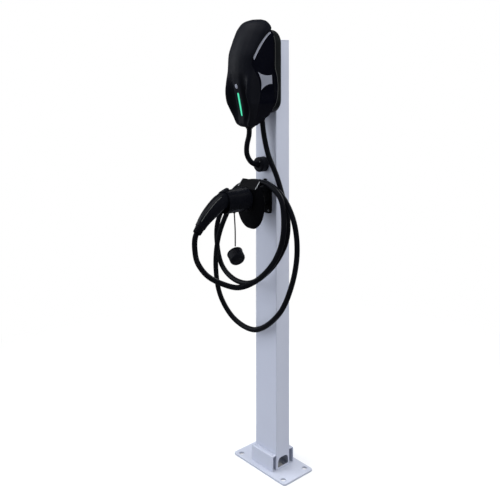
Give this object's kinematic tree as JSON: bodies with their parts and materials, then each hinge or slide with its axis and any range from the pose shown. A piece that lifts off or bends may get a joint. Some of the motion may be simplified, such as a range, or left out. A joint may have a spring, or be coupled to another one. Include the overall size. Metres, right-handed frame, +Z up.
{
  "type": "ev charging post",
  "caption": "Free-standing steel post with a wall-type charger, coiled cable on a holder, and a plug-in charging gun with a tethered dust cap.",
  "frame": {"origin": "centre of the base plate's underside", "axes": "+Z up the post, -Y out of the charger's face, +X to the right seen from the front"},
  "size_m": [0.4107, 0.3926, 1.466],
  "materials": {
    "powder_coat": "pale grey powder coat, satin",
    "satin_black": "satin black moulded plastic with a fine grain",
    "gloss_black": "polished black plastic",
    "silver_trim": "silver-grey satin trim",
    "black_rubber": "black rubber and cable sheath",
    "circuit_board": "solder mask",
    "insulation": "moulded insulator",
    "light_lens": "lit green diffuser",
    "zinc_steel": "zinc plated",
    "contact_metal": "silver-plated contacts"
  },
  "bodies": {
    "post": {"badge": "silver_trim", "base_plate": "powder_coat", "boss_screw": "zinc_steel", "bracket_screw_1": "zinc_steel", "bracket_screw_2": "zinc_steel", "bracket_screw_3": "zinc_steel", "bracket_screw_4": "zinc_steel", "cable_boss": "black_rubber", "charging_cable": "black_rubber", "control_board": "circuit_board", "front_cover": "satin_black", "front_foot_angle": "powder_coat", "holder_body": "satin_black", "holder_screw_1": "zinc_steel", "holder_screw_2": "zinc_steel", "holder_screw_3": "zinc_steel", "holder_shield": "satin_black", "housing_gasket": "black_rubber", "housing_screw_1": "zinc_steel", "housing_screw_2": "zinc_steel", "light_bar": "light_lens", "light_board": "circuit_board", "lower_trim_left": "silver_trim", "lower_trim_right": "silver_trim", "output_gland": "black_rubber", "post_cap": "powder_coat", "post_tube": "powder_coat", "power_relay": "insulation", "power_supply": "insulation", "rear_foot_angle": "powder_coat", "rear_housing": "satin_black", "residual_current_sensor": "insulation", "side_housing": "gloss_black", "supply_cable": "black_rubber", "supply_gland": "black_rubber", "terminal_block": "insulation", "upper_trim_left": "silver_trim", "upper_trim_right": "silver_trim", "wall_bracket": "zinc_steel"},
    "gun": {"gun_housing": "satin_black", "gun_nose": "satin_black", "contact_carrier": "insulation", "strain_relief": "black_rubber", "lanyard_anchor": "satin_black", "contact_earth": "contact_metal", "contact_line_1": "contact_metal", "contact_line_2": "contact_metal", "contact_line_3": "contact_metal", "contact_neutral": "contact_metal", "contact_pilot": "contact_metal", "contact_proximity": "contact_metal"},
    "button": {"release_button": "satin_black"},
    "lanyard": {"lanyard_cord": "black_rubber"},
    "cap": {"dust_cap": "black_rubber"}
  },
  "joints": [
    {"name": "gun_withdraw", "type": "slide", "parent": "post", "child": "gun", "axis": [0, -1, 0], "range_m": [0, 0.075]},
    {"name": "button_press", "type": "slide", "parent": "gun", "child": "button", "axis": [0, 0.309, -0.9511], "range_m": [0, 0.002]},
    {"name": "lanyard_swing", "type": "hinge", "parent": "gun", "child": "lanyard", "pos_m": [0, -0.1665, 0.847], "axis": [0, 1, 0], "range_deg": [-30, 30]},
    {"name": "cap_swing", "type": "hinge", "parent": "lanyard", "child": "cap", "pos_m": [0, -0.1625, 0.7425], "axis": [1, 0, 0], "range_deg": [-40, 40]}
  ]
}
